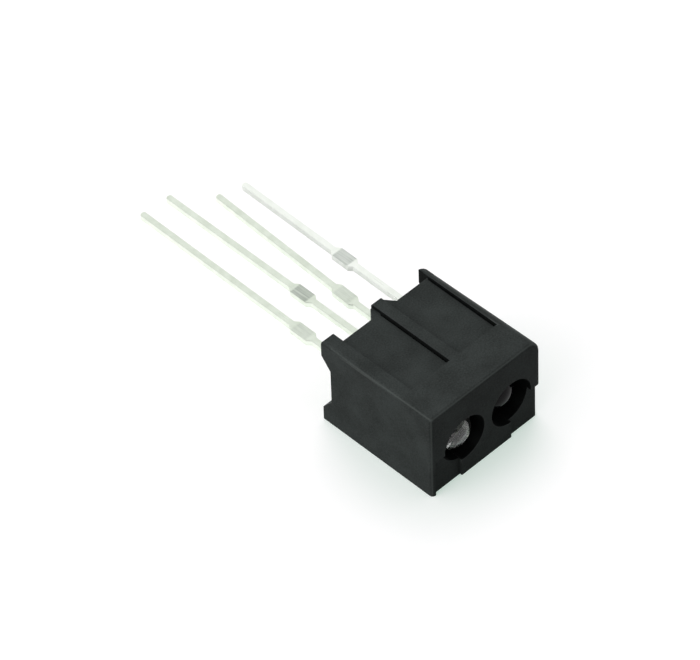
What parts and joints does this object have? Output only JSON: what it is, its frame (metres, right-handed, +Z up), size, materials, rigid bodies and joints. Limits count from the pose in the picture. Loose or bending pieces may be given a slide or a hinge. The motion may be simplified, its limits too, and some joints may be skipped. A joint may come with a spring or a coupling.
{
  "type": "infrared reflective optical sensor",
  "caption": "Infrared reflective sensor: a black moulded housing holds a clear emitter and a dark detector side by side in round bores, with straight tinned leads behind.",
  "frame": {"origin": "middle of the base face, which the sensor rests on", "axes": "+X across the two bores from the emitter to the detector, +Y from the lenses back along the leads, +Z up from the base"},
  "size_m": [0.0108, 0.0308, 0.0079],
  "materials": {
    "housing_plastic": "fine matt moulded surface",
    "clear_epoxy": "clear cast epoxy, glossy",
    "dark_epoxy": "dark daylight-blocking cast epoxy, glossy",
    "tinned_lead": "bright tin plate",
    "chip": "sawn semiconductor",
    "die_adhesive": "silver-filled adhesive",
    "bond_wire": "drawn gold wire"
  },
  "bodies": {
    "root": {"housing": "housing_plastic", "emitter_lens": "clear_epoxy", "emitter_cathode_lead": "tinned_lead", "emitter_anode_lead": "tinned_lead", "emitter_chip": "chip", "emitter_die_bond": "die_adhesive", "emitter_bond_wire": "bond_wire", "detector_lens": "dark_epoxy", "detector_collector_lead": "tinned_lead", "detector_emitter_lead": "tinned_lead", "detector_chip": "chip", "detector_die_bond": "die_adhesive", "detector_bond_wire": "bond_wire"}
  },
  "joints": []
}
